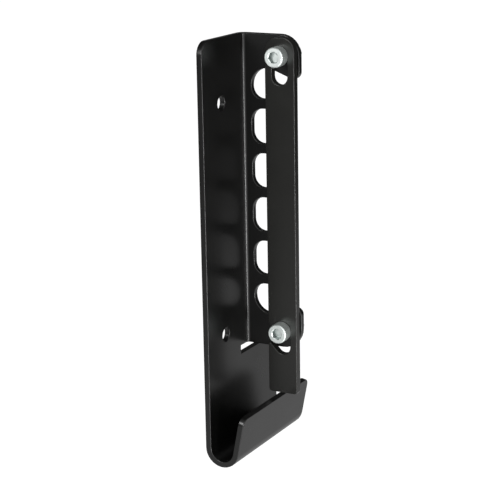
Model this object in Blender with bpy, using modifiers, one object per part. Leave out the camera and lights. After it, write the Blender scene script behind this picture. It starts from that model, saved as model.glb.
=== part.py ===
"""Wall rack: one bent steel bracket with a slotted web and a J-shaped tray, closed by a lifting gate bar.

+X runs along the wall to the right, +Y points into the wall and +Z is up.
The origin lies on the wall face, midway between the two wall-screw holes.
"""
import math

import bmesh
import bpy
from mathutils import Matrix, Vector

MM = 0.001

# Sheet and overall sizes of the bracket
SHEET = 3.0 * MM                 # steel sheet thickness
RACK_HEIGHT = 212.5 * MM         # bottom of the tray to the top edge
TRAY_WIDTH = 71.2 * MM           # full width of the lower plate and tray
WEB_OFFSET = 40.2 * MM           # left edge of the plate to the near face of the web
WEB_DEPTH = 34.0 * MM            # wall face to the front edge of the web's ears
WEB_HEIGHT = 159.0 * MM
WEB_BEND_RADIUS = 1.5 * MM       # inside radius of the bend between plate and web
PLATE_CORNER_RADIUS = 6.5 * MM
LOWER_CORNER_RADIUS = 3.0 * MM   # free upper corner of the lower plate

# Relief between the web and the lower plate
RELIEF_HEIGHT = 4.1 * MM
RELIEF_START = 33.0 * MM         # left edge of the plate to the end of the relief

# J-shaped tray
TRAY_BEND_RADIUS = 6.3 * MM      # inside radius
LIP_TOP = 27.0 * MM              # bottom of the tray to the top of the lip
LIP_LEAN = math.radians(11.2)    # outward lean of the lip
LIP_CORNER_RADIUS = 4.0 * MM

# Open slots in the web
SLOT_COUNT = 6
SLOT_HEIGHT = 17.5 * MM
SLOT_PITCH = 22.4 * MM
SLOT_BACK = 7.5 * MM             # wall face to the closed end of each slot
SLOT_CORNER_RADIUS = 6.0 * MM
END_SLOT_RADIUS = 8.7 * MM       # outer closed corner of the first and last slot
FINGER_RECESS = 3.0 * MM         # finger tips behind the front edge of the ears
FINGER_TIP_RADIUS = 2.3 * MM
EAR_CORNER_RADIUS = 10.4 * MM
EAR_TIP_RADIUS = 3.5 * MM
EAR_LENGTH = 23.1 * MM           # web end to the sharp point of the ear's tip
EAR_SLOPE = math.radians(20.8)   # slope of the ear's slot side

# Wall-screw holes
WALL_HOLE_DIAMETER = 7.0 * MM
WALL_HOLE_PITCH = 117.0 * MM
WALL_HOLE_INSET = 17.9 * MM      # left edge of the plate to the holes
WALL_HOLE_TOP_DROP = 31.7 * MM   # top edge of the plate to the upper hole

# Screws and lock nuts
SCREW_DIAMETER = 6.0 * MM
HEAD_OVERHANG = 2.0 * MM         # side of the shank to the side of the head
HEAD_HEIGHT = 6.0 * MM
HEAD_CHAMFER = 0.5 * MM
SOCKET_ACROSS_FLATS = 5.0 * MM
SOCKET_DEPTH = 3.0 * MM
TOP_SOCKET_TURN = math.radians(-8.0)     # 0 points two corners of the socket to the front and the back
BOTTOM_SOCKET_TURN = math.radians(17.0)
SCREW_LENGTH = 16.0 * MM
SCREW_END_DROP = 10.0 * MM       # web end to the screw axis, at both ends
SCREW_SETBACK = 8.7 * MM         # front edge of the ears to the screw axis
NUT_WALL = 2.0 * MM              # outside of the thread to each flat of the nut
NUT_HEIGHT = 8.0 * MM
NUT_COLLAR_HEIGHT = 1.6 * MM
NUT_COLLAR_WALL = 0.5 * MM
NUT_INSERT_WALL = 0.4 * MM

# Gate bar
BAR_WIDTH = 16.0 * MM
BAR_THICKNESS = 4.0 * MM
BAR_TOP_DROP = 1.0 * MM          # web top to the bar's top
BAR_LENGTH = 181.0 * MM
BAR_TOP_RADIUS = 6.4 * MM
BAR_FOOT_RADIUS = 1.6 * MM
BAR_LIFT = 9.0 * MM              # travel from rest to the lifted stop
BAR_SLOT_SPARE = 1.9 * MM        # extra travel in the upper slot
MOUTH_ANGLE = math.radians(46.0)
MOUTH_CORNER_RADIUS = 0.8 * MM

# Clearances between pieces
FACE_GAP = 0.25 * MM             # between flat faces that bear on each other
STOP_GAP = 0.3 * MM              # between a screw and the end of its slot
BORE_GAP = 0.3 * MM              # around a screw inside a nut or insert, and around an insert in its nut
SCREW_HOLE_GAP = 0.3 * MM        # around a screw in the web
BAR_SLOT_GAP = 1.25 * MM         # on each side of a screw in the gate bar's slots
MOUTH_GAP = 0.2 * MM             # on each side of a screw in the mouth of the lower slot

# Places that follow from the sizes above
LEFT = -WALL_HOLE_INSET
RIGHT = LEFT + TRAY_WIDTH
TOP = WALL_HOLE_TOP_DROP + WALL_HOLE_PITCH / 2
BOTTOM = TOP - RACK_HEIGHT
WEB_NEAR = LEFT + WEB_OFFSET
WEB_FAR = WEB_NEAR + SHEET
WEB_BOTTOM = TOP - WEB_HEIGHT
WEB_MIDDLE = TOP - WEB_HEIGHT / 2
LOWER_PLATE_TOP = WEB_BOTTOM - RELIEF_HEIGHT
SCREW_Y = SCREW_SETBACK - WEB_DEPTH
SCREW_SPREAD = WEB_HEIGHT / 2 - SCREW_END_DROP
BAR_SLOT_WIDTH = SCREW_DIAMETER + 2 * BAR_SLOT_GAP
MOUTH_WIDTH = SCREW_DIAMETER + 2 * MOUTH_GAP
BAR_BACK_X = WEB_NEAR - FACE_GAP
BAR_FACE_X = BAR_BACK_X - BAR_THICKNESS
HEAD_SEAT_X = BAR_FACE_X - FACE_GAP
NUT_SEAT_X = WEB_FAR + FACE_GAP

ARC_STEP = math.radians(11.25)
ROUND_SIDES = 32
POINT_SPACING = 0.01 * MM        # points of an outline closer than this are one point
GRID_DECIMALS = 7                # baked corners are set on a grid, so that flush faces are exactly flush

# Axes for outlines that are drawn flat: local X, local Y and the extrusion axis in world terms
SIDE_VIEW = Matrix(((0, 0, 1), (1, 0, 0), (0, 1, 0))).to_4x4()    # drawn in Y and Z, extruded along X
FRONT_VIEW = Matrix(((1, 0, 0), (0, 0, -1), (0, 1, 0))).to_4x4()  # drawn in X and Z, extruded along Y
TOP_VIEW = Matrix.Identity(4)                                      # drawn in X and Y, extruded along Z


def rounded(corners):
    """Return the points of a closed outline whose corners (u, v, radius) are replaced by arcs."""
    points = []

    def add(point):
        if not points or (point - points[-1]).length > POINT_SPACING:
            points.append(point)

    for index, (u, v, radius) in enumerate(corners):
        here = Vector((u, v))
        if radius <= 0:
            add(here)
            continue
        before = Vector(corners[index - 1][:2]) - here
        after = Vector(corners[(index + 1) % len(corners)][:2]) - here
        before.normalize()
        after.normalize()
        half_angle = before.angle(after) / 2
        centre = here + (before + after).normalized() * (radius / math.sin(half_angle))
        start = here + before * (radius / math.tan(half_angle)) - centre
        turn = math.pi - 2 * half_angle
        if before.cross(after) > 0:
            turn = -turn
        steps = max(2, math.ceil(abs(turn) / ARC_STEP))
        for step in range(steps + 1):
            angle = turn * step / steps
            add(centre + Matrix.Rotation(angle, 2) @ start)
    return points


def arc(centre, radius, first, last):
    """Return points on an arc from angle first to angle last."""
    steps = max(2, math.ceil(abs(last - first) / ARC_STEP))
    angles = [first + (last - first) * step / steps for step in range(steps + 1)]
    return [Vector((centre[0] + radius * math.cos(a), centre[1] + radius * math.sin(a))) for a in angles]


def unlink(obj):
    """Take a new primitive out of the collection that it was added to."""
    for home in list(obj.users_collection):
        home.objects.unlink(obj)
    return obj


def link(obj, collection, material=None):
    """Put an object in a collection, as a finished part or as a cutter."""
    collection.objects.link(obj)
    if material:
        obj.data.materials.append(material)
    else:
        obj.hide_render = True
        obj.display_type = 'WIRE'
    return obj


def drawn(name, outlines, view, start, end, closed=True):
    """Extrude flat outlines from start to end along the view's axis and return a welded mesh object."""
    curve = bpy.data.curves.new(name, 'CURVE')
    curve.dimensions = '2D'
    curve.fill_mode = 'BOTH'
    curve.extrude = (end - start) / 2
    for outline in outlines:
        spline = curve.splines.new('POLY')
        spline.points.add(len(outline) - 1)
        for point, (u, v) in zip(spline.points, outline):
            point.co = (u, v, 0, 1)
        spline.use_cyclic_u = closed
    sketch = bpy.data.objects.new(name + "_sketch", curve)
    bpy.context.scene.collection.objects.link(sketch)
    axis = Vector([abs(part) for part in view.col[2][:3]])
    sketch.matrix_world = Matrix.Translation(axis * (start + end) / 2) @ view
    bpy.context.view_layer.update()
    evaluated = sketch.evaluated_get(bpy.context.evaluated_depsgraph_get())
    mesh = bpy.data.meshes.new_from_object(evaluated)
    mesh.name = name
    obj = bpy.data.objects.new(name, mesh)
    obj.matrix_world = sketch.matrix_world.copy()
    bpy.data.objects.remove(sketch)
    weld(mesh)
    return obj


def weld(mesh):
    """Merge the doubled corners of a mesh."""
    edit = bmesh.new()
    edit.from_mesh(mesh)
    bmesh.ops.remove_doubles(edit, verts=edit.verts, dist=0.001 * MM)
    edit.to_mesh(mesh)
    edit.free()


def bake(obj):
    """Apply an object's modifiers and its place, so that its mesh is in world coordinates."""
    bpy.context.view_layer.update()
    evaluated = obj.evaluated_get(bpy.context.evaluated_depsgraph_get())
    mesh = bpy.data.meshes.new_from_object(evaluated)
    mesh.transform(obj.matrix_world)
    for vertex in mesh.vertices:
        vertex.co = [round(part, GRID_DECIMALS) for part in vertex.co]
    obj.modifiers.clear()
    obj.data = mesh
    obj.matrix_world = Matrix.Identity(4)


def round_corner(obj, radius, wanted):
    """Round the edges of a baked mesh whose middle point passes the wanted test."""
    edit = bmesh.new()
    edit.from_mesh(obj.data)
    edges = [e for e in edit.edges if wanted((e.verts[0].co + e.verts[1].co) / 2)]
    segments = math.ceil(math.pi / 2 / ARC_STEP)
    bmesh.ops.bevel(edit, geom=edges, offset=radius, offset_type='OFFSET', segments=segments,
                    profile=0.5, affect='EDGES', clamp_overlap=False)
    edit.to_mesh(obj.data)
    edit.free()


def boolean(obj, operation, other):
    """Add an exact Boolean to an object."""
    step = obj.modifiers.new(operation.lower() + "_" + other.name, 'BOOLEAN')
    step.operation = operation
    step.object = other
    step.solver = 'EXACT'


def sheet(name, path, view, start, end, collection, material=None):
    """Make a bent sheet from the path of its outer face: an extruded ribbon with Solidify."""
    obj = link(drawn(name, [path], view, start, end, closed=False), collection, material)
    wall = obj.modifiers.new("wall", 'SOLIDIFY')
    wall.thickness = SHEET
    wall.offset = -1
    wall.use_even_offset = True
    bake(obj)
    return obj


def web_outline():
    """Side view of plate and web: two ears, and fingers between six open slots."""
    front = -WEB_DEPTH
    tip = -(WEB_DEPTH - FINGER_RECESS)
    back = -SLOT_BACK
    ear_rise = math.tan(EAR_SLOPE) * (WEB_DEPTH - SLOT_BACK)
    slot_ends = []
    for number in range(SLOT_COUNT):
        middle = WEB_MIDDLE + SLOT_PITCH * ((SLOT_COUNT - 1) / 2 - number)
        slot_ends.append((middle + SLOT_HEIGHT / 2, middle - SLOT_HEIGHT / 2))
    corners = [(SHEET, TOP, 0), (front, TOP, EAR_CORNER_RADIUS)]
    corners.append((front, TOP - EAR_LENGTH, EAR_TIP_RADIUS))
    corners.append((back, TOP - EAR_LENGTH + ear_rise, END_SLOT_RADIUS))
    for upper, lower in zip(slot_ends, slot_ends[1:]):
        corners.append((back, upper[1], SLOT_CORNER_RADIUS))
        corners.append((tip, upper[1], FINGER_TIP_RADIUS))
        corners.append((tip, lower[0], FINGER_TIP_RADIUS))
        corners.append((back, lower[0], SLOT_CORNER_RADIUS))
    corners.append((back, WEB_BOTTOM + EAR_LENGTH - ear_rise, END_SLOT_RADIUS))
    corners.append((front, WEB_BOTTOM + EAR_LENGTH, EAR_TIP_RADIUS))
    corners.append((front, WEB_BOTTOM, EAR_CORNER_RADIUS))
    web_root = -(SHEET + WEB_BEND_RADIUS)
    corners += [(web_root, WEB_BOTTOM, 0), (web_root, BOTTOM, 0), (SHEET, BOTTOM, 0)]
    return rounded(corners)


def bar_outlines():
    """Side view of the gate bar: its outline with the open lower slot, and the closed upper slot."""
    left = SCREW_Y + BAR_WIDTH / 2
    right = SCREW_Y - BAR_WIDTH / 2
    top = TOP - BAR_TOP_DROP
    foot = top - BAR_LENGTH
    slot_left = SCREW_Y + BAR_SLOT_WIDTH / 2
    slot_right = SCREW_Y - BAR_SLOT_WIDTH / 2
    slot_radius = BAR_SLOT_WIDTH / 2
    screw_reach = SCREW_DIAMETER / 2 + STOP_GAP
    # Lower slot: hangs on the lower screw and runs down to the lifted stop, then out at a slant
    low_screw = WEB_MIDDLE - SCREW_SPREAD
    slot_top = low_screw + screw_reach
    slot_foot = low_screw - screw_reach - BAR_LIFT
    centre = Vector((SCREW_Y, slot_foot + slot_radius))
    along = Vector((math.cos(MOUTH_ANGLE), math.sin(MOUTH_ANGLE)))
    across = Vector((-math.sin(MOUTH_ANGLE), math.cos(MOUTH_ANGLE)))
    ramp = centre - across * slot_radius
    roof = ramp + across * MOUTH_WIDTH

    def height_at(point, u):
        return point.y + (u - point.x) * along.y / along.x

    ramp_start = SCREW_Y + slot_radius * math.tan(MOUTH_ANGLE / 2)
    top_radius = min(BAR_TOP_RADIUS, BAR_WIDTH / 2)
    corners = [
        (left, top, top_radius),
        (left, height_at(roof, left), MOUTH_CORNER_RADIUS),
        (slot_left, height_at(roof, slot_left), MOUTH_CORNER_RADIUS),
        (slot_left, slot_top, slot_radius),
        (slot_right, slot_top, slot_radius),
        (slot_right, slot_foot, slot_radius),
        (ramp_start, slot_foot, slot_radius),
        (left, height_at(ramp, left), MOUTH_CORNER_RADIUS),
        (left, foot, BAR_FOOT_RADIUS),
        (right, foot, BAR_FOOT_RADIUS),
        (right, top, top_radius),
    ]
    # Upper slot: the same, with a little more travel
    high_screw = WEB_MIDDLE + SCREW_SPREAD
    high_top = high_screw + screw_reach - slot_radius
    high_foot = high_screw - screw_reach - BAR_LIFT - BAR_SLOT_SPARE + slot_radius
    upper = arc((SCREW_Y, high_top), slot_radius, 0, math.pi)
    upper += arc((SCREW_Y, high_foot), slot_radius, math.pi, 2 * math.pi)
    return [rounded(corners), upper]


def cylinder(name, radius, start, end, axis, centre, collection):
    """Make a round cutter along a world axis, from start to end."""
    bpy.ops.mesh.primitive_cylinder_add(vertices=ROUND_SIDES, radius=radius, depth=end - start)
    obj = bpy.context.object
    obj.name = name
    turn = {'X': Matrix.Rotation(math.pi / 2, 4, 'Y'), 'Y': Matrix.Rotation(math.pi / 2, 4, 'X')}[axis]
    middle = Vector(centre)
    middle['XYZ'.index(axis)] = (start + end) / 2
    obj.matrix_world = Matrix.Translation(middle) @ turn
    return link(unlink(obj), collection)


def turned(name, profile, seat_x, z, collection, material):
    """Turn a profile of (radius, distance along the screw) about a screw axis that points to +X.

    A profile that starts away from the axis is closed to a ring.
    """
    mesh = bpy.data.meshes.new(name)
    edit = bmesh.new()
    verts = [edit.verts.new((radius, 0, height)) for radius, height in profile]
    for first, second in zip(verts, verts[1:]):
        edit.edges.new((first, second))
    if profile[0][0] > 0:
        edit.edges.new((verts[-1], verts[0]))
    edit.to_mesh(mesh)
    edit.free()
    obj = bpy.data.objects.new(name, mesh)
    lathe = obj.modifiers.new("lathe", 'SCREW')
    lathe.steps = ROUND_SIDES
    lathe.render_steps = ROUND_SIDES
    lathe.use_merge_vertices = True
    lathe.merge_threshold = 0.01 * MM
    link(obj, collection, material)
    obj.matrix_world = Matrix.Translation((seat_x, SCREW_Y, z)) @ Matrix.Rotation(math.pi / 2, 4, 'Y')
    return obj


def hexagon(name, across_flats, start, end, turn, place, collection):
    """Make a six-sided prism along the local Z of a place, from start to end, turned about that axis."""
    bpy.ops.mesh.primitive_cylinder_add(vertices=6, radius=across_flats / math.sqrt(3), depth=end - start)
    obj = bpy.context.object
    obj.name = name
    obj.matrix_world = place @ Matrix.Translation((0, 0, (start + end) / 2)) @ Matrix.Rotation(turn, 4, 'Z')
    return link(unlink(obj), collection)


def make_material(name, colour, roughness, metallic):
    """Make a Principled material."""
    material = bpy.data.materials.new(name)
    material.use_nodes = True
    shader = material.node_tree.nodes["Principled BSDF"]
    shader.inputs["Base Color"].default_value = (*colour, 1)
    shader.inputs["Roughness"].default_value = roughness
    shader.inputs["Metallic"].default_value = metallic
    return material


def make_bracket(parts, cutters, material):
    """Bend the sheet into plate, web and tray, then cut its outline and holes."""
    # Plate and web: the face on the wall, round the bend, to the web's far face
    outer = WEB_BEND_RADIUS + SHEET
    path = [Vector((LEFT, 0))] + arc((WEB_FAR - outer, -outer), outer, math.pi / 2, 0)
    path.append(Vector((WEB_FAR, -WEB_DEPTH - SHEET)))
    bracket = sheet("wall_bracket", path, TOP_VIEW, LOWER_PLATE_TOP, TOP, parts, material)
    round_corner(bracket, PLATE_CORNER_RADIUS, lambda p: p.x < LEFT + SHEET / 2 and p.z > TOP - SHEET / 2)
    # Holes for the wall screws and for the two gate screws
    for name, z in (("upper_wall_hole", WALL_HOLE_PITCH / 2), ("lower_wall_hole", -WALL_HOLE_PITCH / 2)):
        hole = cylinder(name, WALL_HOLE_DIAMETER / 2, -SHEET * 2, SHEET, 'Y', (0, 0, z), cutters)
        boolean(bracket, 'DIFFERENCE', hole)
    for name, z in gate_screws():
        hole = cylinder(name + "_screw_hole", SCREW_DIAMETER / 2 + SCREW_HOLE_GAP, WEB_NEAR - SHEET,
                        WEB_FAR + SHEET, 'X', (0, SCREW_Y, z), cutters)
        boolean(bracket, 'DIFFERENCE', hole)
    outline = link(drawn("web_outline", [web_outline()], SIDE_VIEW, LEFT - SHEET, RIGHT), cutters)
    boolean(bracket, 'INTERSECT', outline)
    # Below the web the sheet ends at the relief
    beside = [(LEFT + RELIEF_START, BOTTOM), (RIGHT, BOTTOM), (RIGHT, WEB_BOTTOM),
              (LEFT + RELIEF_START, WEB_BOTTOM)]
    relief = link(drawn("relief", [beside], FRONT_VIEW, -WEB_DEPTH * 2, WEB_DEPTH), cutters)
    boolean(bracket, 'DIFFERENCE', relief)
    # Lower plate and J-shaped tray: down the wall face, round the bend, up the leaning lip
    curl = TRAY_BEND_RADIUS + SHEET
    middle = Vector((-curl, BOTTOM + curl))
    lip_foot_angle = -math.pi + LIP_LEAN
    path = [Vector((0, LOWER_PLATE_TOP))] + arc(middle, curl, 0, lip_foot_angle)
    lip_foot = path[-1]
    lip_length = (BOTTOM + LIP_TOP - lip_foot.y) / math.cos(LIP_LEAN)
    path.append(lip_foot + Vector((-math.sin(LIP_LEAN), math.cos(LIP_LEAN))) * lip_length)
    tray = sheet("tray", path, SIDE_VIEW, LEFT, RIGHT, cutters)
    end = SHEET / 2

    def at_lip_corner(p):
        outside = p.x < LEFT + end or p.x > RIGHT - end
        return outside and p.y < middle.x and p.z > BOTTOM + LIP_TOP - SHEET

    def at_plate_corner(p):
        return p.x > RIGHT - end and p.y > middle.x and p.z > LOWER_PLATE_TOP - end

    round_corner(tray, LIP_CORNER_RADIUS, at_lip_corner)
    round_corner(tray, LOWER_CORNER_RADIUS, at_plate_corner)
    boolean(bracket, 'UNION', tray)


def gate_screws():
    """Name and height of each screw that carries the gate bar."""
    return (("top", WEB_MIDDLE + SCREW_SPREAD), ("bottom", WEB_MIDDLE - SCREW_SPREAD))


def make_gate_bar(parts, material):
    """Cut the flat bar with its two slots."""
    bar = drawn("gate_bar", bar_outlines(), SIDE_VIEW, BAR_FACE_X, BAR_BACK_X)
    link(bar, parts, material)


def make_cap_screw(name, z, socket_turn, parts, cutters, material):
    """Turn a socket head cap screw, with its underside at the head seat, and sink its hexagon socket."""
    shank = SCREW_DIAMETER / 2
    head = shank + HEAD_OVERHANG
    point = shank * 0.2
    profile = [(0, SCREW_LENGTH), (shank - point, SCREW_LENGTH), (shank, SCREW_LENGTH - point), (shank, 0),
               (head, 0), (head, HEAD_CHAMFER - HEAD_HEIGHT), (head - HEAD_CHAMFER, -HEAD_HEIGHT),
               (0, -HEAD_HEIGHT)]
    screw = turned(name + "_cap_screw", profile, HEAD_SEAT_X, z, parts, material)
    socket = hexagon(name + "_socket", SOCKET_ACROSS_FLATS, -HEAD_HEIGHT * 2, SOCKET_DEPTH - HEAD_HEIGHT,
                     socket_turn, screw.matrix_world, cutters)
    boolean(screw, 'DIFFERENCE', socket)


def make_lock_nut(name, z, parts, cutters, steel, nylon):
    """Turn a lock nut with a collar, cut it to a hexagon, and set the nylon insert in its collar."""
    bore = SCREW_DIAMETER / 2 + BORE_GAP
    across_flats = SCREW_DIAMETER + 2 * NUT_WALL
    corner = across_flats / math.sqrt(3)
    rim = bore + NUT_INSERT_WALL
    pocket = rim + BORE_GAP
    collar = pocket + NUT_COLLAR_WALL
    hex_height = NUT_HEIGHT - NUT_COLLAR_HEIGHT
    crown = corner - across_flats / 2
    profile = [(bore, hex_height), (pocket, hex_height), (pocket, NUT_HEIGHT), (collar, NUT_HEIGHT),
               (collar, hex_height), (corner - crown, hex_height), (corner, hex_height - crown / 2),
               (corner, crown / 2), (corner - crown, 0), (bore, 0)]
    nut = turned(name + "_lock_nut", profile, NUT_SEAT_X, z, parts, steel)
    blank = hexagon(name + "_nut_blank", across_flats, -NUT_HEIGHT, NUT_HEIGHT * 2, 0,
                    nut.matrix_world, cutters)
    boolean(nut, 'INTERSECT', blank)
    floor = hex_height + BORE_GAP
    ring = [(bore, floor), (bore, NUT_HEIGHT), (rim, NUT_HEIGHT), (rim, floor)]
    turned(name + "_nut_insert", ring, NUT_SEAT_X, z, parts, nylon)


def main():
    for obj in list(bpy.data.objects):
        bpy.data.objects.remove(obj)
    parts = bpy.data.collections.new("wall_rack")
    cutters = bpy.data.collections.new("cutters")
    bpy.context.scene.collection.children.link(parts)
    bpy.context.scene.collection.children.link(cutters)
    black = make_material("black_powder_coat", (0.012, 0.012, 0.013), 0.42, 0.0)
    zinc = make_material("zinc_plated_steel", (0.62, 0.65, 0.66), 0.3, 1.0)
    nylon = make_material("nylon", (0.05, 0.12, 0.32), 0.5, 0.0)
    make_bracket(parts, cutters, black)
    make_gate_bar(parts, black)
    socket_turns = {"top": TOP_SOCKET_TURN, "bottom": BOTTOM_SOCKET_TURN}
    for name, z in gate_screws():
        make_cap_screw(name, z, socket_turns[name], parts, cutters, zinc)
        make_lock_nut(name, z, parts, cutters, zinc, nylon)


main()
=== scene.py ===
# %% [markdown]
# # A wall rack with a lifting gate bar
#
# The rack is one bent sheet of steel: a back plate on the wall, a web that stands out from it with six
# open slots, and a J-shaped tray below. A flat gate bar hangs on two socket head cap screws and closes
# the slots from the front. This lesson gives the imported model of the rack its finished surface: rounded
# sheet edges, knurled screws with real threads, lock nuts, and the black powder coat.
#
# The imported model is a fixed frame. Every piece made here is placed from the frame's own boxes.

# %% Load the frame
import math

import bmesh
import bpy
from mathutils import Matrix, Vector


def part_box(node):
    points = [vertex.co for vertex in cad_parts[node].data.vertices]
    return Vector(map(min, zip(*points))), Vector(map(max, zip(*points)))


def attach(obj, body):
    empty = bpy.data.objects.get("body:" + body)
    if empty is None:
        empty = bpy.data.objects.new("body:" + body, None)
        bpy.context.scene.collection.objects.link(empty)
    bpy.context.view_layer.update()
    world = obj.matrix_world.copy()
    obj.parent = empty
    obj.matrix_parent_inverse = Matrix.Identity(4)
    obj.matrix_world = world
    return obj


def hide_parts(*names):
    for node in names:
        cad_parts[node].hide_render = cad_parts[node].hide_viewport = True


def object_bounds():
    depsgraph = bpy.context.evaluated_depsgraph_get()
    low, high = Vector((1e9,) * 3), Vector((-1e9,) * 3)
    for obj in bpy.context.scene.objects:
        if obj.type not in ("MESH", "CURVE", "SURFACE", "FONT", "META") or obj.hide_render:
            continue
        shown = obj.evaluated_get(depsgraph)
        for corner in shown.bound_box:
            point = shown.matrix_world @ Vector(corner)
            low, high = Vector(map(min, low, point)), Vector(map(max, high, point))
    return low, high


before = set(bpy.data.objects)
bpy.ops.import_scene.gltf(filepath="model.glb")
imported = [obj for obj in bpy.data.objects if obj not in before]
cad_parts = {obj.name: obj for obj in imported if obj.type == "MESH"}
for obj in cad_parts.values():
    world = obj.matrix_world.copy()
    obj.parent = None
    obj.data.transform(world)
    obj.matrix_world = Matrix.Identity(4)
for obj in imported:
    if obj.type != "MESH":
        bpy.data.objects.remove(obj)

MM = 0.001
cad_low, cad_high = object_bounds()
rack_middle = (cad_low + cad_high) / 2
print("CAD box in mm:", [round(side / MM, 2) for side in cad_high - cad_low])

# %% [markdown]
# ## Camera
#
# The rack is looked at from the left and a little from above, with a long lens, so that its upright
# edges stay nearly parallel. The camera is turned round a target point: azimuth 0 looks straight at the
# wall, and a negative azimuth steps to the left. A small roll tips the picture, as a hand-held camera
# does.

# %% Make the camera
CAMERA_AZIMUTH = math.radians(-61.216)
CAMERA_ELEVATION = math.radians(14.761)
CAMERA_ROLL = math.radians(0.995)
CAMERA_DISTANCE = 892.0 * MM
CAMERA_LENS = 114.77
CAMERA_TARGET = Vector((93.9, 34.2, -41.3)) * MM


def camera_turn(azimuth, elevation, roll):
    """Rotation of a camera that looks at its target from that azimuth and elevation."""
    back = Vector((math.sin(azimuth) * math.cos(elevation),
                   -math.cos(azimuth) * math.cos(elevation),
                   math.sin(elevation)))
    level_right = Vector((math.cos(azimuth), math.sin(azimuth), 0))
    level_up = back.cross(level_right)
    right = level_right * math.cos(roll) - level_up * math.sin(roll)
    up = level_right * math.sin(roll) + level_up * math.cos(roll)
    return Matrix((right, up, back)).transposed(), back


turn, towards_camera = camera_turn(CAMERA_AZIMUTH, CAMERA_ELEVATION, CAMERA_ROLL)
camera_data = bpy.data.cameras.new("camera")
camera_data.lens = CAMERA_LENS
camera = bpy.data.objects.new("camera", camera_data)
camera_place = CAMERA_TARGET + towards_camera * CAMERA_DISTANCE
camera.matrix_world = Matrix.Translation(camera_place) @ turn.to_4x4()
bpy.context.scene.collection.objects.link(camera)
bpy.context.scene.camera = camera
print("camera at", [round(part / MM) for part in camera.location], "mm")

# %% [markdown]
# ## Helpers for node trees
#
# Shader trees and Geometry Nodes trees are built the same way: make a node, set its properties, and
# wire it up. Two small helpers keep the trees below short. `add` makes a node and connects or sets its
# inputs by name or number, and `maths` makes one step of arithmetic and hands back its result.

# %% Define the node helpers
def feed(tree, socket, value):
    """Connect a node's input to another node's output, or set it to a plain value."""
    if isinstance(value, bpy.types.NodeSocket):
        tree.links.new(value, socket)
    else:
        socket.default_value = value


def add(tree, kind, inputs=None, **settings):
    """Add a node, set its properties and feed its inputs."""
    made = tree.nodes.new(kind)
    for name, value in settings.items():
        setattr(made, name, value)
    for key, value in (inputs or {}).items():
        feed(tree, made.inputs[key], value)
    return made


def maths(tree, operation, *values):
    """Add one Math node and return its result."""
    return add(tree, "ShaderNodeMath", dict(enumerate(values)), operation=operation).outputs[0]


def declare(tree, side, kind, *names):
    """Declare sockets on the outside of a node group."""
    for name in names:
        tree.interface.new_socket(name, in_out=side, socket_type=kind)


# %% [markdown]
# ## Surface grain, shared by every finish
#
# Nothing on the rack is perfectly even. Powder coat melts into a faint orange peel, zinc plate is
# slightly cloudy, and nylon is moulded with a fine grain. All of them are noise at two scales, so they
# share one node group. `Grain` is the fine relief that feeds a Bump node, and `Cloud` is a slow change
# that feeds roughness and colour. Sizes are given in metres, because the pattern reads Object
# coordinates.

# %% Build the grain group
FINE_DETAIL = 2.0
CLOUD_DETAIL = 3.0


def build_grain_group():
    """Make the group that gives fine relief and a slow change over a surface."""
    group = bpy.data.node_groups.new("surface_grain", "ShaderNodeTree")
    declare(group, "INPUT", "NodeSocketFloat", "Grain Size", "Cloud Size")
    declare(group, "OUTPUT", "NodeSocketFloat", "Grain", "Cloud")
    given = group.nodes.new("NodeGroupInput")
    place = group.nodes.new("ShaderNodeTexCoord").outputs["Object"]
    fine_scale = maths(group, "DIVIDE", 1.0, given.outputs["Grain Size"])
    fine = add(group, "ShaderNodeTexNoise",
               {"Vector": place, "Scale": fine_scale, "Detail": FINE_DETAIL})
    slow_scale = maths(group, "DIVIDE", 1.0, given.outputs["Cloud Size"])
    slow = add(group, "ShaderNodeTexNoise",
               {"Vector": place, "Scale": slow_scale, "Detail": CLOUD_DETAIL})
    add(group, "NodeGroupOutput", {"Grain": fine.outputs[0], "Cloud": slow.outputs[0]})
    return group


grain_group = build_grain_group()
print("grain group has", len(grain_group.nodes), "nodes")

# %% [markdown]
# ## Materials
#
# A finish is a Principled shader whose roughness and colour drift a little with the cloud, and whose
# normal comes from a very shallow bump. The constants of each finish are set on the shader's own
# sockets. Powder coat is a dielectric over black pigment. The bar has a lighter and warmer copy of the
# same coat, which is painted light for the brighter light that the bar catches. Zinc is a metal with a
# faint cool tint. The walls of a screw's socket are given a darker steel, which is painted shade in
# that recess and draws the hexagon more clearly.

# %% Make the finishes
def make_finish(name, dark, light, rough, grain_size, cloud_size, relief, metallic=0.0):
    """Make a material whose colour and roughness drift between two values over the surface."""
    material = bpy.data.materials.new(name)
    material.use_nodes = True
    tree = material.node_tree
    shader = tree.nodes["Principled BSDF"]
    grain = add(tree, "ShaderNodeGroup", node_tree=grain_group)
    grain.inputs["Grain Size"].default_value = grain_size
    grain.inputs["Cloud Size"].default_value = cloud_size
    colour = add(tree, "ShaderNodeMix", {"Factor": grain.outputs["Cloud"]}, data_type="RGBA")
    colour.inputs["A"].default_value = (*dark, 1)
    colour.inputs["B"].default_value = (*light, 1)
    rough_drift = add(tree, "ShaderNodeMapRange", {"Value": grain.outputs["Cloud"]})
    rough_drift.inputs["To Min"].default_value = rough[0]
    rough_drift.inputs["To Max"].default_value = rough[1]
    bump = add(tree, "ShaderNodeBump", {"Height": grain.outputs["Grain"], "Distance": relief})
    bump.inputs["Strength"].default_value = 1.0
    feed(tree, shader.inputs["Base Color"], colour.outputs["Result"])
    feed(tree, shader.inputs["Roughness"], rough_drift.outputs["Result"])
    feed(tree, shader.inputs["Normal"], bump.outputs["Normal"])
    shader.inputs["Metallic"].default_value = metallic
    return material


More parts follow.
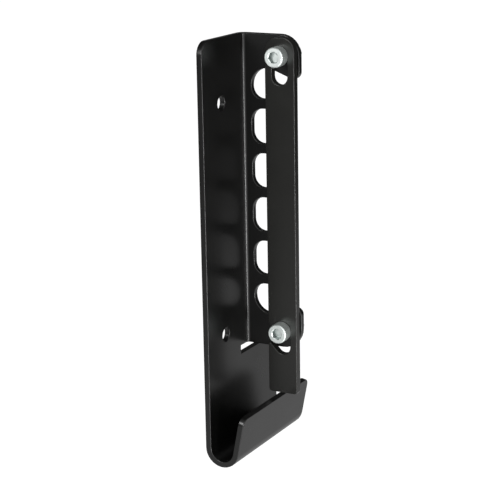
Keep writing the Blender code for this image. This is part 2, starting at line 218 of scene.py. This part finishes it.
powder_coat = make_finish(
    "powder_coat", dark=(0.0016, 0.0016, 0.0015), light=(0.0030, 0.0030, 0.0028), rough=(0.25, 0.33),
    grain_size=0.9 * MM, cloud_size=14 * MM, relief=0.006 * MM)
# Painted light: a lighter, warmer copy of the same powder coat, for the brighter light on the bar.
bar_painted_light_coat = make_finish(
    "bar_painted_light_coat", dark=(0.0040, 0.0040, 0.0032), light=(0.0055, 0.0055, 0.0044), rough=(0.25, 0.33),
    grain_size=0.9 * MM, cloud_size=14 * MM, relief=0.006 * MM)
zinc_plate = make_finish(
    "zinc_plate", dark=(0.72, 0.78, 0.76), light=(0.88, 0.92, 0.90), rough=(0.38, 0.52),
    grain_size=0.25 * MM, cloud_size=2.5 * MM, relief=0.004 * MM, metallic=1.0)
# Painted shade: a darker steel for the walls of each screw's socket, where shade falls in the recess.
socket_painted_shade = make_finish(
    "socket_painted_shade", dark=(0.10, 0.12, 0.12), light=(0.20, 0.23, 0.22), rough=(0.35, 0.50),
    grain_size=0.25 * MM, cloud_size=2.5 * MM, relief=0.004 * MM, metallic=1.0)
nylon = make_finish(
    "nylon", dark=(0.03, 0.09, 0.26), light=(0.05, 0.13, 0.33), rough=(0.42, 0.55),
    grain_size=0.2 * MM, cloud_size=2 * MM, relief=0.004 * MM)
finishes = (powder_coat, bar_painted_light_coat, zinc_plate, socket_painted_shade, nylon)
print("finishes:", ", ".join(finish.name for finish in finishes))

# %% [markdown]
# ## Bracket and gate bar: rounded sheet edges
#
# Laser-cut steel has sharp edges, but powder coat flows round them and leaves a small radius that
# catches a thin line of light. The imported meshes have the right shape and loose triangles. A copy is
# merged, its flat regions are dissolved into single faces, and a Bevel modifier with an angle limit
# rounds only the real edges. Its own guard against overlaps is off, because the short steps of the arcs
# would make it shrink every edge to almost nothing. The arcs are left to smooth shading, and a Weighted
# Normal modifier keeps the broad faces flat right up to their rounded edges.

# %% Round the edges of a copy
EDGE_RADIUS = 0.38 * MM
EDGE_SEGMENTS = 3
MERGE_DISTANCE = 0.002 * MM
EDGE_ANGLE = math.radians(35)
FLAT_ANGLE = math.radians(0.4)
FLAT_WEIGHT = 100


def bake(obj):
    """Apply the modifiers of a piece to its mesh."""
    bpy.context.view_layer.update()
    evaluated = obj.evaluated_get(bpy.context.evaluated_depsgraph_get())
    mesh = bpy.data.meshes.new_from_object(evaluated)
    obj.modifiers.clear()
    obj.data = mesh


def finished_copy(node, name):
    """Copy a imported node, merge its triangles and round its edges."""
    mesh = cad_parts[node].data.copy()
    mesh.materials.clear()
    edit = bmesh.new()
    edit.from_mesh(mesh)
    bmesh.ops.remove_doubles(edit, verts=edit.verts, dist=MERGE_DISTANCE)
    bmesh.ops.dissolve_limit(edit, angle_limit=FLAT_ANGLE, verts=edit.verts, edges=edit.edges)
    edit.to_mesh(mesh)
    edit.free()
    mesh.shade_smooth()
    obj = bpy.data.objects.new(name, mesh)
    bpy.context.scene.collection.objects.link(obj)
    rounding = obj.modifiers.new("edges", "BEVEL")
    rounding.width = EDGE_RADIUS
    rounding.segments = EDGE_SEGMENTS
    rounding.limit_method = "ANGLE"
    rounding.angle_limit = EDGE_ANGLE
    rounding.use_clamp_overlap = False
    flats = obj.modifiers.new("flats", "WEIGHTED_NORMAL")
    flats.mode = "FACE_AREA"
    flats.weight = FLAT_WEIGHT
    bake(obj)
    return obj


bracket_piece = finished_copy("wall_bracket", "steel_bracket")
bar_piece = finished_copy("gate_bar", "steel_gate_bar")
for piece, finish in ((bracket_piece, powder_coat), (bar_piece, bar_painted_light_coat)):
    piece.data.materials.append(finish)
    print(piece.name, "has", len(piece.data.polygons), "faces")

# %% [markdown]
# ## Round pieces with a rule: one group of Geometry Nodes
#
# A knurled head, a threaded shank and a nut are all a cylinder whose radius follows a rule: it depends
# on the angle round the axis and on the height along it. So each is a Mesh Cylinder node with many
# vertices, and a Set Position node that moves every vertex to the radius that its rule gives. The small
# tree below holds what the rules share: it splits a position into its angle, height and radius.

# %% Define the helpers for geometry trees
def new_geometry_tree(name, finishes, **inputs):
    """Start a tree that makes a mesh, with a number input for each size and the named materials."""
    tree = bpy.data.node_groups.new(name, "GeometryNodeTree")
    declare(tree, "OUTPUT", "NodeSocketGeometry", "Geometry")
    for label, default in inputs.items():
        kind = "NodeSocketInt" if isinstance(default, int) else "NodeSocketFloat"
        socket = tree.interface.new_socket(label, in_out="INPUT", socket_type=kind)
        socket.default_value = default
    declare(tree, "INPUT", "NodeSocketMaterial", *finishes)
    return tree, tree.nodes.new("NodeGroupInput").outputs


def position_parts(tree):
    """Return the X, Y and Z of each vertex."""
    position = tree.nodes.new("GeometryNodeInputPosition").outputs[0]
    return add(tree, "ShaderNodeSeparateXYZ", {0: position}).outputs


def polar(tree):
    """Return the angle round the axis, in turns, and the height of each vertex."""
    parts = position_parts(tree)
    angle = maths(tree, "ARCTAN2", parts["Y"], parts["X"])
    return maths(tree, "DIVIDE", angle, math.tau), parts["Z"]


def moved_along(tree, mesh, distance, **settings):
    """Move a mesh along the axis."""
    offset = add(tree, "ShaderNodeCombineXYZ", {"Z": distance})
    inputs = {"Geometry": mesh, "Translation": offset.outputs[0], **settings}
    return add(tree, "GeometryNodeTransform", inputs).outputs[0]


def barrel(tree, vertices, rings, low, high, radius_rule):
    """A capped cylinder from low to high whose vertices stand at the radius that the rule gives."""
    depth = maths(tree, "SUBTRACT", high, low)
    made = add(tree, "GeometryNodeMeshCylinder",
               {"Vertices": vertices, "Side Segments": rings, "Radius": 1.0, "Depth": depth})
    middle = maths(tree, "MULTIPLY", maths(tree, "ADD", low, high), 0.5)
    lift = add(tree, "ShaderNodeCombineXYZ", {"Z": middle})
    raised = add(tree, "GeometryNodeSetPosition",
                 {"Geometry": made.outputs["Mesh"], "Offset": lift.outputs[0]})
    turns, height = polar(tree)
    radius = radius_rule(turns, height)
    angle = maths(tree, "MULTIPLY", turns, math.tau)
    place = add(tree, "ShaderNodeCombineXYZ", {
        "X": maths(tree, "MULTIPLY", radius, maths(tree, "COSINE", angle)),
        "Y": maths(tree, "MULTIPLY", radius, maths(tree, "SINE", angle)),
        "Z": height})
    return add(tree, "GeometryNodeSetPosition",
               {"Geometry": raised.outputs[0], "Position": place.outputs[0]}).outputs[0]


def combined(tree, operation, first, second):
    """Add or cut one mesh by another."""
    made = tree.nodes.new("GeometryNodeMeshBoolean")
    made.operation = operation
    made.solver = "EXACT"
    if operation == "DIFFERENCE":
        tree.links.new(first, made.inputs["Mesh 1"])
        tree.links.new(second, made.inputs["Mesh 2"])
    else:
        tree.links.new(first, made.inputs["Mesh 2"])
        tree.links.new(second, made.inputs["Mesh 2"])
    return made.outputs["Mesh"]


def close_tree(tree, mesh, finish, second_finish=None, second_place=None):
    """End a tree with real geometry and a material, and a second material on the chosen faces."""
    real = add(tree, "GeometryNodeRealizeInstances", {0: mesh})
    painted = add(tree, "GeometryNodeSetMaterial",
                  {"Geometry": real.outputs[0], "Material": finish})
    if second_finish is not None:
        painted = add(tree, "GeometryNodeSetMaterial", {
            "Geometry": painted.outputs[0], "Selection": second_place, "Material": second_finish})
    add(tree, "NodeGroupOutput", {"Geometry": painted.outputs[0]})


# %% [markdown]
# ## Cap screws
#
# An M6 socket head cap screw has a straight knurl round its head, a chamfer at the top of the head, a
# hexagon socket with a small countersink, and a thread that runs the whole length. The knurl is a
# triangle wave in the angle. The thread is a triangle wave in the height minus the angle, which makes
# it climb one pitch in each turn. Both are cut off by a cone near their ends. Each screw lies with its
# seat at height zero, its head below and its shank above.

# %% Shape the head and the shank
HEAD_RINGS = 24
KNURL_VERTICES = 4
THREAD_RINGS_PER_PITCH = 8
THREAD_VERTICES = 48
SHANK_ROOT = -1.0 * MM


def triangle_wave(tree, value):
    """A wave that runs 0, 1, 0 as its value grows by one."""
    return maths(tree, "MULTIPLY", maths(tree, "PINGPONG", value, 0.5), 2.0)


def screw_head(tree, given, bottom):
    """Make the knurled head from its outer face up to its seat."""
    def rule(turns, height):
        ridge = triangle_wave(tree, maths(tree, "MULTIPLY", turns, given["knurls"]))
        cut = maths(tree, "MULTIPLY", given["knurl_depth"], maths(tree, "SUBTRACT", 1.0, ridge))
        from_face = maths(tree, "SUBTRACT", height, bottom)
        face_radius = maths(tree, "SUBTRACT", given["head_radius"], given["chamfer"])
        cone = maths(tree, "ADD", face_radius, from_face)
        foot_radius = maths(tree, "SUBTRACT", given["head_radius"], given["foot_chamfer"])
        foot_cone = maths(tree, "SUBTRACT", foot_radius, height)
        knurled = maths(tree, "SUBTRACT", given["head_radius"], cut)
        return maths(tree, "MINIMUM", knurled, maths(tree, "MINIMUM", cone, foot_cone))

    around = maths(tree, "MULTIPLY", given["knurls"], float(KNURL_VERTICES))
    return barrel(tree, around, HEAD_RINGS, bottom, 0.0, rule)


def screw_shank(tree, given):
    """Make the threaded shank, from a little inside the head to its pointed end."""
    def rule(turns, height):
        pitches = maths(tree, "DIVIDE", height, given["thread_pitch"])
        climb = maths(tree, "SUBTRACT", pitches, turns)
        valley = maths(tree, "SUBTRACT", 1.0, triangle_wave(tree, climb))
        groove = maths(tree, "MULTIPLY", given["thread_depth"], valley)
        from_end = maths(tree, "SUBTRACT", given["length"], height)
        root = maths(tree, "SUBTRACT", given["shank_radius"], given["thread_depth"])
        cone = maths(tree, "ADD", maths(tree, "SUBTRACT", root, given["point_drop"]), from_end)
        threaded = maths(tree, "SUBTRACT", given["shank_radius"], groove)
        return maths(tree, "MINIMUM", threaded, cone)

    pitches = maths(tree, "DIVIDE", given["length"], given["thread_pitch"])
    rings = maths(tree, "MULTIPLY", pitches, float(THREAD_RINGS_PER_PITCH))
    return barrel(tree, THREAD_VERTICES, rings, SHANK_ROOT, given["length"], rule)


print("screws have", THREAD_RINGS_PER_PITCH, "rings in each turn of the thread")

# %% [markdown]
# The socket is cut by a six-sided cylinder that is centred on the face of the head, and its
# countersink by a cone as tall as the radius of its foot, which slopes at 45 degrees. The walls of the
# socket are then found by their place, so that they can have the darker steel of painted shade: they
# lie deeper than the countersink, above the floor, and between the axis and the corners.

# %% Cut the socket and find its walls
def socket_radius(tree, given):
    """Distance from the axis to a corner of the socket."""
    return maths(tree, "DIVIDE", given["socket_flats"], math.sqrt(3))


def socket_cut(tree, given, bottom, body):
    """Cut the hexagon socket and its countersink into the head."""
    corner = socket_radius(tree, given)
    hexagon = add(tree, "GeometryNodeMeshCylinder", {
        "Vertices": 6, "Radius": corner, "Depth": maths(tree, "MULTIPLY", given["socket_depth"], 2.0)})
    turned = add(tree, "ShaderNodeCombineXYZ", {"Z": given["socket_turn"]})
    socket = moved_along(tree, hexagon.outputs["Mesh"], bottom, Rotation=turned.outputs[0])
    body = combined(tree, "DIFFERENCE", body, socket)
    sink_size = maths(tree, "ADD", corner, given["sink_depth"])
    sink = add(tree, "GeometryNodeMeshCone", {
        "Vertices": THREAD_VERTICES, "Radius Bottom": sink_size, "Radius Top": 0.0, "Depth": sink_size})
    sink_foot = maths(tree, "SUBTRACT", bottom, given["sink_depth"])
    return combined(tree, "DIFFERENCE", body, moved_along(tree, sink.outputs["Mesh"], sink_foot))


def socket_walls(tree, given, bottom):
    """Choose the faces that are the walls of the socket."""
    parts = position_parts(tree)
    across = add(tree, "ShaderNodeCombineXYZ", {"X": parts["X"], "Y": parts["Y"]})
    length = add(tree, "ShaderNodeVectorMath", {0: across.outputs[0]}, operation="LENGTH")
    from_axis = length.outputs["Value"]
    depth = maths(tree, "SUBTRACT", parts["Z"], bottom)
    in_wall = maths(tree, "MULTIPLY", maths(tree, "GREATER_THAN", depth, given["sink_depth"]),
                    maths(tree, "LESS_THAN", depth, given["socket_depth"]))
    beside_axis = maths(tree, "MULTIPLY",
                        maths(tree, "GREATER_THAN", from_axis, given["sink_depth"]),
                        maths(tree, "LESS_THAN", from_axis, socket_radius(tree, given)))
    return maths(tree, "MULTIPLY", in_wall, beside_axis)


# %% Build the cap screw tree
def build_screw_tree():
    """Join the head and the shank, cut the socket, and set the zinc and the painted shade of its walls.
    """
    tree, given = new_geometry_tree(
        "cap_screw", ("finish", "inner_finish"), head_radius=5 * MM, head_height=6 * MM, knurls=36,
        knurl_depth=0.14 * MM, chamfer=0.5 * MM, shank_radius=3 * MM, thread_pitch=1.0 * MM,
        thread_depth=0.55 * MM, length=16 * MM, socket_flats=5 * MM, socket_depth=3 * MM,
        socket_turn=0.0, sink_depth=0.5 * MM, foot_chamfer=0.15 * MM, point_drop=0.1 * MM)
    bottom = maths(tree, "MULTIPLY", given["head_height"], -1.0)
    body = combined(tree, "UNION", screw_head(tree, given, bottom), screw_shank(tree, given))
    body = socket_cut(tree, given, bottom, body)
    # The socket walls get the darker steel of painted shade.
    walls = socket_walls(tree, given, bottom)
    close_tree(tree, body, given["finish"], given["inner_finish"], walls)
    return tree


screw_tree = build_screw_tree()
print("cap screw tree has", len(screw_tree.nodes), "nodes")

# %% [markdown]
# A tree is run on an empty mesh. Its inputs are set on the modifier by each socket's identifier, before
# the object is first evaluated. The result is turned into a plain mesh and laid along +X, the way the
# screws point, with its origin left at the world's.

# %% Run a tree and place its mesh
SCREW_AXIS = Matrix.Rotation(math.pi / 2, 4, "Y")


def grown(name, tree, seat, **sizes):
    """Run a geometry tree with these inputs and lay its mesh along +X from the seat."""
    obj = bpy.data.objects.new(name, bpy.data.meshes.new(name))
    bpy.context.scene.collection.objects.link(obj)
    modifier = obj.modifiers.new("grow", "NODES")
    modifier.node_group = tree
    for item in tree.interface.items_tree:
        if item.in_out == "INPUT" and item.name in sizes:
            modifier[item.identifier] = sizes[item.name]
    bake(obj)
    obj.data.transform(Matrix.Translation(seat) @ SCREW_AXIS)
    obj.data.shade_smooth()
    obj.data.set_sharp_from_angle(angle=EDGE_ANGLE)
    return obj


print("pieces are laid along +X")

# %% Grow the two screws
HEAD_HEIGHT = 6.0 * MM
SOCKET_TURNS = {"top": math.radians(22), "bottom": math.radians(47)}
screws = {}
for where, socket_turn in SOCKET_TURNS.items():
    low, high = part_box(where + "_cap_screw")
    middle = (low + high) / 2
    seat = Vector((low.x + HEAD_HEIGHT, middle.y, middle.z))
    screws[where] = grown(
        where + "_knurled_screw", screw_tree, seat, finish=zinc_plate, inner_finish=socket_painted_shade,
        head_height=HEAD_HEIGHT, length=high.x - seat.x, socket_turn=socket_turn)
    print(screws[where].name, "has", len(screws[where].data.polygons), "faces")

# %% [markdown]
# ## Lock nuts
#
# A lock nut is a hexagon whose corners are trimmed by a cone, with a round collar that is rolled over a
# nylon ring. The hexagon is again a radius rule: the distance to a flat side grows with one over the
# cosine of the angle from the middle of that side. The bore is cut with the screw's own radius and a
# little clearance, so the thread passes through it.

# %% Build the lock nut tree
NUT_SIDES = 6
NUT_VERTICES = 72
NUT_RINGS = 40
CROWN_SLOPE = math.sqrt(3)
DRILL_LENGTH = 20 * MM


def drilled(tree, mesh, radius):
    """Cut a round bore through a mesh."""
    drill = add(tree, "GeometryNodeMeshCylinder",
                {"Vertices": NUT_VERTICES, "Radius": radius, "Depth": DRILL_LENGTH})
    return combined(tree, "DIFFERENCE", mesh, drill.outputs["Mesh"])


def build_nut_tree():
    """Make a crowned hexagon with a rolled collar, and cut its bore and the pocket of its ring."""
    tree, given = new_geometry_tree(
        "lock_nut", ("finish",), across_flats=10 * MM, height=8 * MM, collar_height=1.6 * MM,
        collar_radius=4.5 * MM, bore_radius=3.3 * MM, pocket_radius=4.0 * MM, crown=0.12 * MM,
        rolled_edge=0.35 * MM, turn=0.5 / NUT_SIDES)
    apothem = maths(tree, "MULTIPLY", given["across_flats"], 0.5)
    hexagon_height = maths(tree, "SUBTRACT", given["height"], given["collar_height"])

    def hexagon_rule(turns, height):
        turned = maths(tree, "ADD", turns, given["turn"])
        side_count = maths(tree, "MULTIPLY", turned, float(NUT_SIDES))
        from_corner = maths(tree, "WRAP", side_count, 1.0, 0.0)
        from_middle = maths(tree, "SUBTRACT", from_corner, 0.5)
        side_angle = maths(tree, "MULTIPLY", from_middle, math.tau / NUT_SIDES)
        flat_side = maths(tree, "DIVIDE", apothem, maths(tree, "COSINE", side_angle))
        near_end = maths(tree, "MINIMUM", height, maths(tree, "SUBTRACT", hexagon_height, height))
        cone = maths(tree, "ADD", apothem, maths(tree, "MULTIPLY", near_end, CROWN_SLOPE))
        cone = maths(tree, "SUBTRACT", cone, given["crown"])
        return maths(tree, "MINIMUM", flat_side, cone)

    hexagon = barrel(tree, NUT_VERTICES, NUT_RINGS, 0.0, hexagon_height, hexagon_rule)

    def collar_rule(turns, height):
        from_top = maths(tree, "SUBTRACT", given["height"], height)
        end_radius = maths(tree, "SUBTRACT", given["collar_radius"], given["rolled_edge"])
        rolled = maths(tree, "ADD", end_radius, from_top)
        return maths(tree, "MINIMUM", given["collar_radius"], rolled)

    collar_foot = maths(tree, "MULTIPLY", hexagon_height, 0.5)
    collar = barrel(tree, NUT_VERTICES, NUT_RINGS, collar_foot, given["height"], collar_rule)
    body = combined(tree, "UNION", hexagon, collar)
    body = drilled(tree, body, given["bore_radius"])
    pocket_depth = maths(tree, "MULTIPLY", given["collar_height"], 2.0)
    pocket = add(tree, "GeometryNodeMeshCylinder",
                 {"Vertices": NUT_VERTICES, "Radius": given["pocket_radius"], "Depth": pocket_depth})
    pocket_moved = moved_along(tree, pocket.outputs["Mesh"], given["height"])
    close_tree(tree, combined(tree, "DIFFERENCE", body, pocket_moved), given["finish"])
    return tree


nut_tree = build_nut_tree()
print("lock nut tree has", len(nut_tree.nodes), "nodes")

# %% Build the nylon ring tree
def build_insert_tree():
    """Make a ring with a rounded top edge that ends at the height of the nut."""
    tree, given = new_geometry_tree(
        "nut_insert", ("finish",), outer_radius=3.85 * MM, bore_radius=3.15 * MM,
        thickness=1.5 * MM, height=8 * MM, rounding=0.2 * MM)
    floor = maths(tree, "SUBTRACT", given["height"], given["thickness"])

    def ring_rule(turns, height):
        from_top = maths(tree, "SUBTRACT", given["height"], height)
        end_radius = maths(tree, "SUBTRACT", given["outer_radius"], given["rounding"])
        rounded = maths(tree, "ADD", end_radius, from_top)
        return maths(tree, "MINIMUM", given["outer_radius"], rounded)

    ring = barrel(tree, NUT_VERTICES, NUT_RINGS // 2, floor, given["height"], ring_rule)
    close_tree(tree, drilled(tree, ring, given["bore_radius"]), given["finish"])
    return tree


insert_tree = build_insert_tree()
print("nylon ring tree has", len(insert_tree.nodes), "nodes")

# %% Grow the nuts and their rings
nuts, inserts = {}, {}
for where in SOCKET_TURNS:
    low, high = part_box(where + "_lock_nut")
    middle = (low + high) / 2
    seat = Vector((low.x, middle.y, middle.z))
    nut_height = high.x - low.x
    nuts[where] = grown(where + "_hexagon_nut", nut_tree, seat, finish=zinc_plate,
                        height=nut_height, across_flats=high.z - low.z)
    inserts[where] = grown(where + "_nylon_ring", insert_tree, seat, finish=nylon,
                           height=nut_height)
    for made in (nuts[where], inserts[where]):
        print(made.name, "has", len(made.data.polygons), "faces")

# %% [markdown]
# ## Joining the pieces to the frame
#
# Each new piece stands for its imported node and rides on the body that carries the node: the gate bar
# on the gate, and everything else on the bracket.

# %% Ride and replace
stand_ins = [(bracket_piece, "wall_bracket", "bracket", "powder_coat"),
             (bar_piece, "gate_bar", "gate", "powder_coat")]
for where in SOCKET_TURNS:
    stand_ins.append((screws[where], where + "_cap_screw", "bracket", "zinc_plate"))
    stand_ins.append((nuts[where], where + "_lock_nut", "bracket", "zinc_plate"))
    stand_ins.append((inserts[where], where + "_nut_insert", "bracket", "nylon"))
for piece, node, body, slot in stand_ins:
    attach(piece, body)
    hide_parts(node)
print(len(stand_ins), "pieces ride on the frame")

# %% [markdown]
# ## Floor, backdrop and light
#
# Black powder coat shows mostly what it mirrors, so the room is what draws the shape of the sheet. A
# photographer lights black work with one large soft source on one side and leaves the rest dim: the
# rounded edges then carry a bright line and the broad faces stay dark. Here the room itself does that.
# Its level follows the direction: full in front and to the left, and dim elsewhere. One small group
# holds the rule, because the world and the floor both use it. The floor uses it for painted light: it
# glows in reflections at the room's level, and a painted pool of light makes that glow brighter close
# to the rack, where the tray mirrors it. What the camera sees of the room is plain white. Two small
# lamps add the sharper lights: a low strip in front, which the rounded upright edges mirror as a thin
# line, and a square one at the left for the zinc.

# %% Build the room level group
SOURCE_AZIMUTH = math.radians(-45)
SOURCE_ELEVATION = math.radians(22)
SOURCE_LEVEL = 1.6
DIM_LEVEL = 0.06


def build_room_level_group():
    """Make the group that turns a direction into the level of the room there."""
    group = bpy.data.node_groups.new("room_level", "ShaderNodeTree")
    declare(group, "INPUT", "NodeSocketVector", "Direction")
    declare(group, "OUTPUT", "NodeSocketFloat", "Level")
    given = group.nodes.new("NodeGroupInput").outputs
    source = camera_turn(SOURCE_AZIMUTH, SOURCE_ELEVATION, 0)[1]
    unit = add(group, "ShaderNodeVectorMath", {0: given["Direction"]}, operation="NORMALIZE")
    facing = add(group, "ShaderNodeVectorMath", {0: unit.outputs["Vector"], 1: source},
                 operation="DOT_PRODUCT")
    front = maths(group, "MAXIMUM", facing.outputs["Value"], 0.0)
    glow = maths(group, "MULTIPLY", maths(group, "MULTIPLY", front, front), SOURCE_LEVEL)
    add(group, "NodeGroupOutput", {"Level": maths(group, "ADD", glow, DIM_LEVEL)})
    return group


room_level = build_room_level_group()
print("room level from", DIM_LEVEL, "to", SOURCE_LEVEL + DIM_LEVEL)

# %% Make the floor
FLOOR_DROP = 220 * MM
FLOOR_SIZE = 12.0
FLOOR_GLOW = 0.9
# Painted pool of light: how much brighter the floor glows in reflections close to the rack.
PAINTED_POOL_LEVEL = 0.52
PAINTED_POOL_REACH = (1000 * MM, 1450 * MM)
WHITE = (1, 1, 1, 1)
PALE_GREY = (0.8, 0.8, 0.8, 1)
SHADE_GREY = (0.35, 0.35, 0.35, 1)
floor_mesh = bpy.data.meshes.new("floor")
edit = bmesh.new()
bmesh.ops.create_grid(edit, x_segments=1, y_segments=1, size=FLOOR_SIZE / 2)
edit.to_mesh(floor_mesh)
edit.free()
floor = bpy.data.objects.new("floor", floor_mesh)
floor.location = (rack_middle.x, rack_middle.y, cad_low.z - FLOOR_DROP)
bpy.context.scene.collection.objects.link(floor)
print("floor at", round(floor.location.z / MM), "mm")

# %% Paint the floor
floor_paint = bpy.data.materials.new("pale_floor")
floor_paint.use_nodes = True
tree = floor_paint.node_tree
tree.nodes.clear()
path = tree.nodes.new("ShaderNodeLightPath").outputs
pale = add(tree, "ShaderNodeBsdfDiffuse", {"Color": PALE_GREY})
place = tree.nodes.new("ShaderNodeTexCoord").outputs["Object"]
level = add(tree, "ShaderNodeGroup", node_tree=room_level)
feed(tree, level.inputs["Direction"], place)
away = add(tree, "ShaderNodeVectorMath", {0: place}, operation="LENGTH")
# Painted pool of light near the rack, added to the floor's painted glow.
painted_pool = add(tree, "ShaderNodeMapRange", {
    "Value": away.outputs["Value"], "From Min": PAINTED_POOL_REACH[0], "From Max": PAINTED_POOL_REACH[1],
    "To Min": PAINTED_POOL_LEVEL, "To Max": 0.0})
painted_glow_level = maths(tree, "ADD", level.outputs["Level"], painted_pool.outputs["Result"])
# Painted light: the floor glows for glossy rays, so the edges and the tray mirror a lit floor.
painted_glow = add(tree, "ShaderNodeEmission", {"Color": WHITE, "Strength": painted_glow_level})
shade = add(tree, "ShaderNodeBsdfDiffuse", {"Color": SHADE_GREY})
white = add(tree, "ShaderNodeEmission", {"Color": WHITE, "Strength": FLOOR_GLOW})
seen = add(tree, "ShaderNodeAddShader", {0: shade.outputs[0], 1: white.outputs[0]})
glow_or_pale = add(tree, "ShaderNodeMixShader", {
    0: path["Is Glossy Ray"], 1: pale.outputs[0], 2: painted_glow.outputs[0]})
for_camera = add(tree, "ShaderNodeMixShader", {
    0: path["Is Camera Ray"], 1: glow_or_pale.outputs[0], 2: seen.outputs[0]})
add(tree, "ShaderNodeOutputMaterial", {"Surface": for_camera.outputs[0]})
floor_mesh.materials.append(floor_paint)
print("floor paint has", len(tree.nodes), "nodes")

# %% Light the room
world = bpy.data.worlds.new("studio")
world.use_nodes = True
bpy.context.scene.world = world
tree = world.node_tree
tree.nodes.clear()
path = tree.nodes.new("ShaderNodeLightPath").outputs
direction = tree.nodes.new("ShaderNodeTexCoord").outputs["Generated"]
level = add(tree, "ShaderNodeGroup", node_tree=room_level)
feed(tree, level.inputs["Direction"], direction)
room = add(tree, "ShaderNodeBackground", {"Color": WHITE, "Strength": level.outputs["Level"]})
backdrop = add(tree, "ShaderNodeBackground", {"Color": WHITE, "Strength": 1.0})
mixed = add(tree, "ShaderNodeMixShader", {
    0: path["Is Camera Ray"], 1: room.outputs[0], 2: backdrop.outputs[0]})
add(tree, "ShaderNodeOutputWorld", {"Surface": mixed.outputs[0]})
print("world has", len(tree.nodes), "nodes")

# %% Add the two small lamps
def add_lamp(name, azimuth, elevation, distance, width, height, power):
    """Add a soft lamp that shines at the middle of the rack from that azimuth and elevation."""
    aim, towards_lamp = camera_turn(math.radians(azimuth), math.radians(elevation), 0)
    light = bpy.data.lights.new(name, "AREA")
    light.shape = "RECTANGLE"
    light.size = width
    light.size_y = height
    light.energy = power
    lamp = bpy.data.objects.new(name, light)
    lamp.matrix_world = Matrix.Translation(rack_middle + towards_lamp * distance) @ aim.to_4x4()
    bpy.context.scene.collection.objects.link(lamp)
    print(name, "gives", power, "W")


add_lamp("edge_strip", azimuth=-29, elevation=-13, distance=900 * MM,
         width=140 * MM, height=320 * MM, power=4.4)
add_lamp("zinc_square", azimuth=-106, elevation=24, distance=950 * MM,
         width=300 * MM, height=300 * MM, power=3.6)

# %% Use plain colour
bpy.context.scene.view_settings.view_transform = "Standard"
print("view transform is", bpy.context.scene.view_settings.view_transform)
